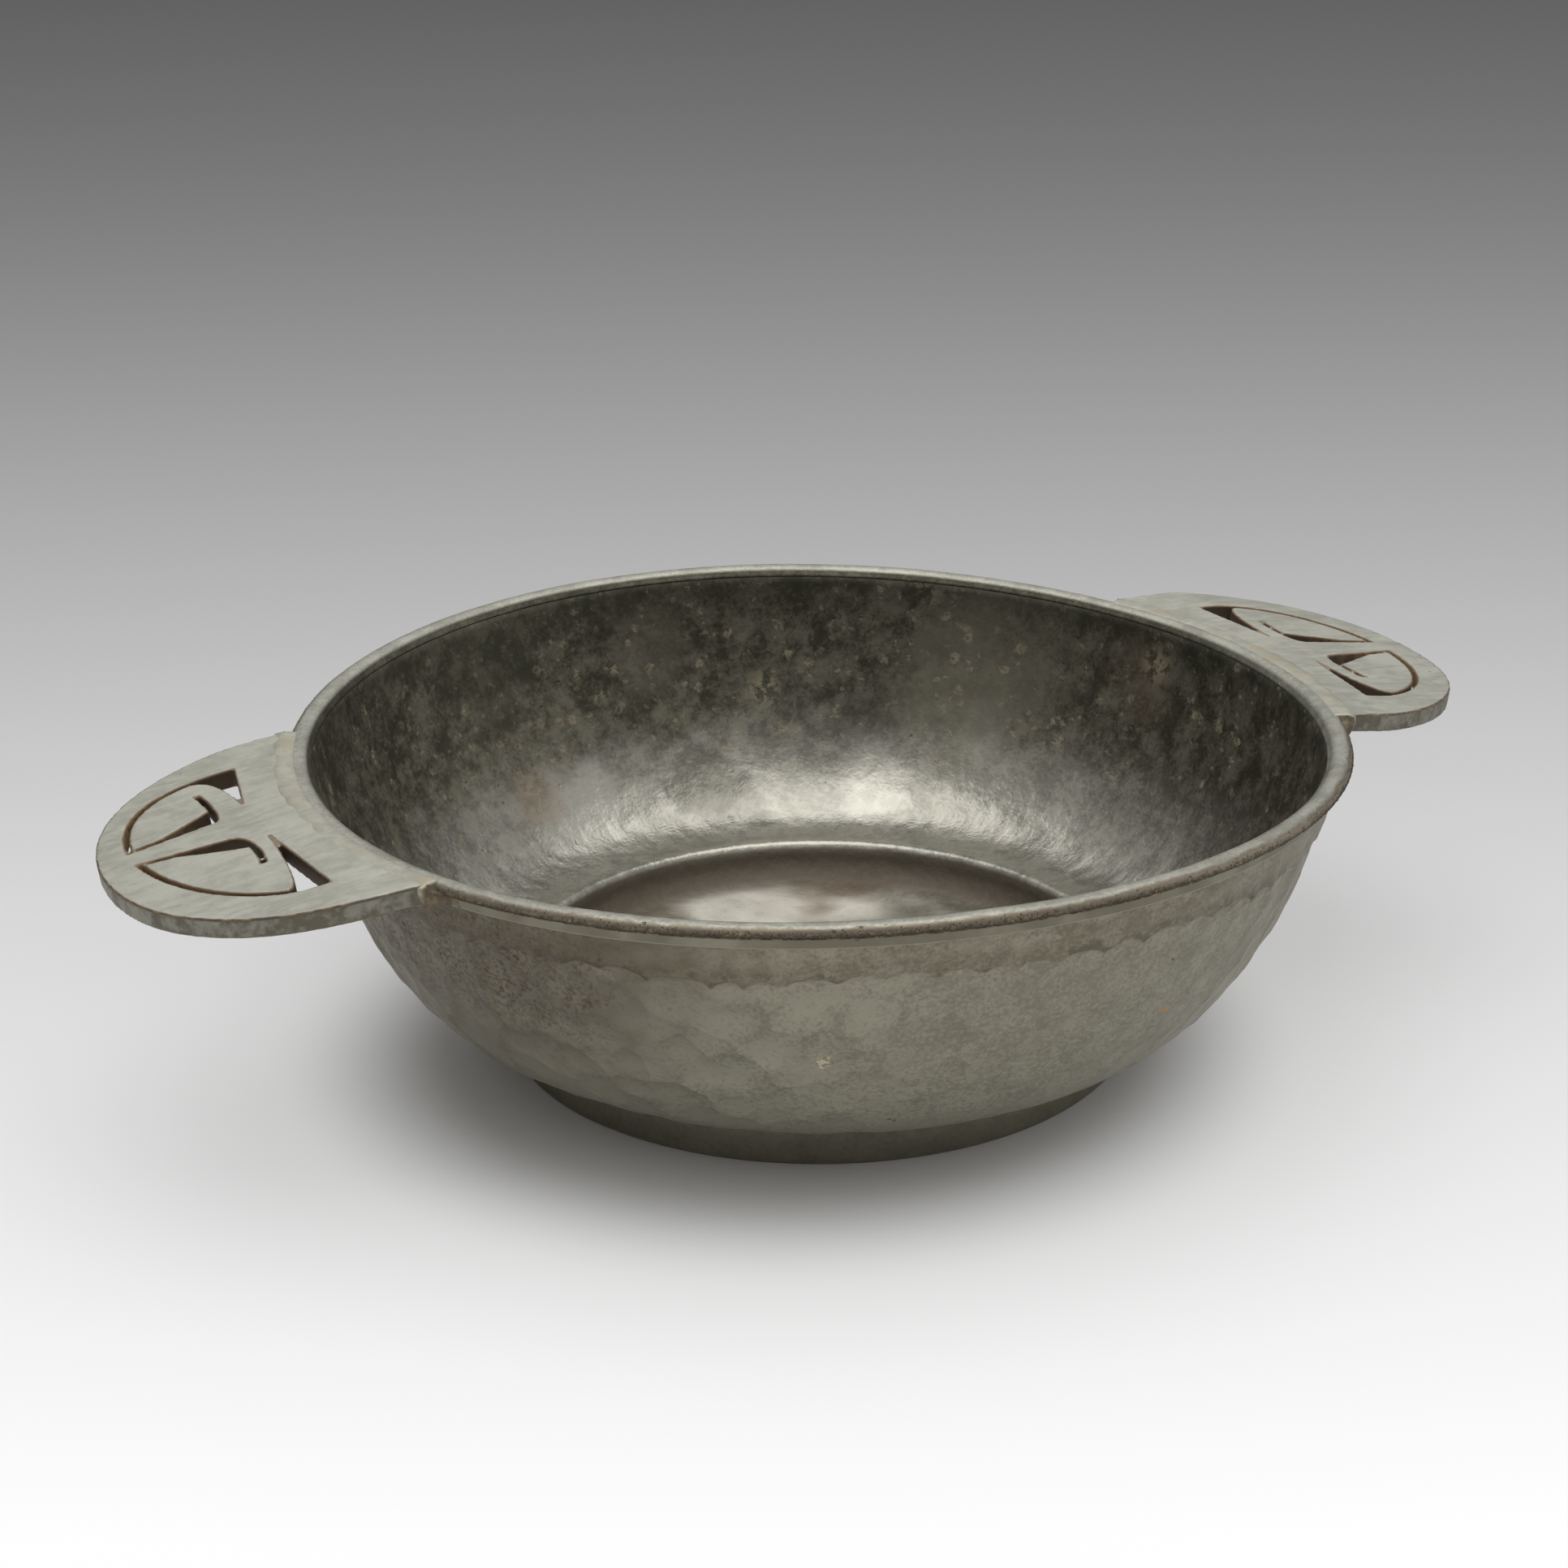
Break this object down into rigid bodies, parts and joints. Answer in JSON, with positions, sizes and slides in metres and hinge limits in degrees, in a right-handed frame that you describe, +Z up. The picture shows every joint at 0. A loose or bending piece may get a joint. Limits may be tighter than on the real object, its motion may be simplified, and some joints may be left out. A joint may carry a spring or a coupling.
{
  "type": "two-handled bowl",
  "caption": "Shallow hand-beaten pewter bowl with a wired rim, a sunk well, a foot ring and a pierced plate handle at each side, for salt or small servings at table.",
  "frame": {"origin": "on the table at the middle of the foot ring's underside, under the middle of the mouth", "axes": "+Z up out of the mouth, +X towards the right handle, +Y across the mouth away from the picture's viewer"},
  "size_m": [0.1572, 0.115, 0.0368],
  "materials": {
    "beaten_sheet": "aged pewter, planished, satin, darker inside with oxide spots",
    "rim_wire": "worn pale pewter, satin",
    "rim_strip": "smooth blue-grey pewter",
    "rim_seam": "pitted brown soft solder with dirt in it",
    "foot_strip": "dark olive-grey pewter",
    "foot_seam": "dull soft solder",
    "handle_plate": "pale grey-green pewter with rubbed brown edges",
    "handle_seam": "ochre stained soft solder"
  },
  "bodies": {
    "root": {"bowl_shell": "beaten_sheet", "rim_bead": "rim_wire", "rim_band": "rim_strip", "rim_solder": "rim_seam", "foot_ring": "foot_strip", "foot_solder": "foot_seam", "left_handle": "handle_plate", "right_handle": "handle_plate", "left_handle_solder": "handle_seam", "right_handle_solder": "handle_seam"}
  },
  "joints": []
}
